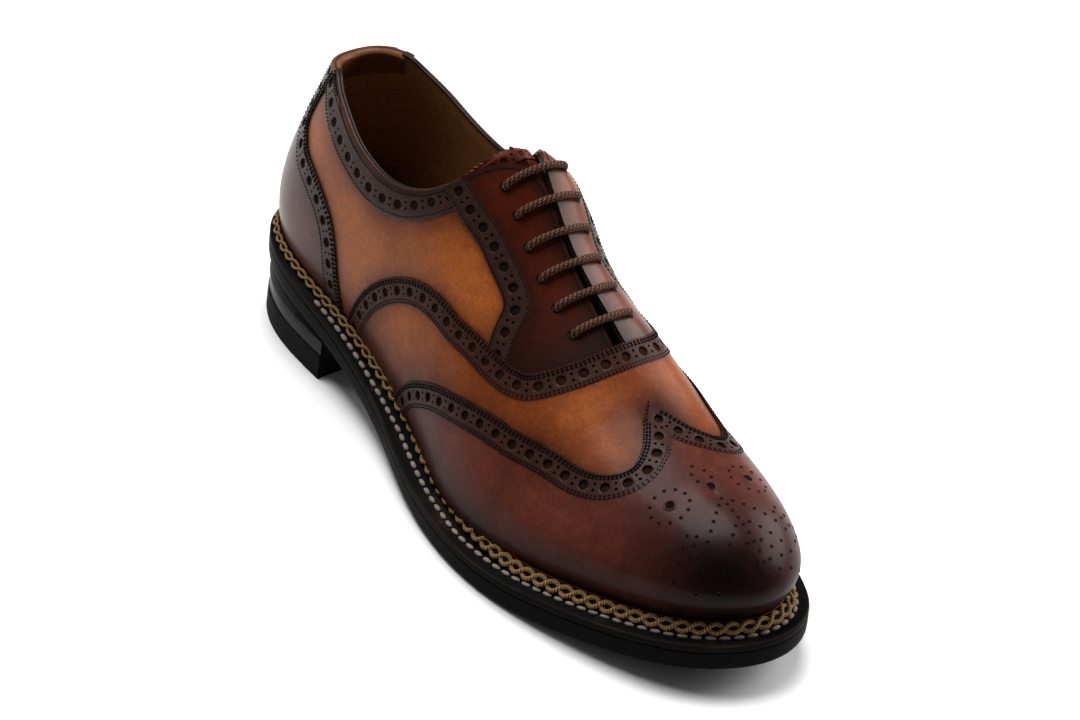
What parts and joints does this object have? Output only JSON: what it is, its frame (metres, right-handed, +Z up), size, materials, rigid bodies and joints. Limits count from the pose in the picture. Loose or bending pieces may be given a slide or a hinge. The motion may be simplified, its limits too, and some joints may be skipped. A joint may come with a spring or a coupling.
{
  "type": "oxford shoe",
  "caption": "Right full-brogue oxford shoe: hollow leather upper with wingtip, vamp, facings and counter, straight-bar laces, tongue, insole, braided welt, sole and stacked heel.",
  "frame": {"origin": "on the floor under the centre of the sole's bounding box", "axes": "+X towards the toe, +Y towards the inner side of the right foot, +Z up from the floor"},
  "size_m": [0.3026, 0.1053, 0.1207],
  "materials": {
    "upper_leather": "hand-burnished calf, orange-brown darkening at the seams, polished",
    "dark_leather": "hand-burnished calf, dark red-brown, polished",
    "lining_leather": "plain tan lining leather, matt",
    "sole_edge": "black waxed edge, semi-gloss",
    "sole_rubber": "matt black rubber",
    "braid": "twisted waxed linen thread",
    "lace_cord": "round waxed cotton braid"
  },
  "bodies": {
    "root": {"upper": "upper_leather", "vamp": "upper_leather", "wing_cap": "dark_leather", "facing_lateral": "dark_leather", "facing_medial": "dark_leather", "heel_counter": "dark_leather", "collar_band": "dark_leather", "tongue": "dark_leather", "insole": "lining_leather", "midsole": "sole_edge", "outsole": "sole_rubber", "heel_seat": "sole_edge", "heel_stack": "sole_edge", "heel_top_lift": "sole_rubber", "welt_braid": "braid", "lace": "lace_cord"}
  },
  "joints": []
}
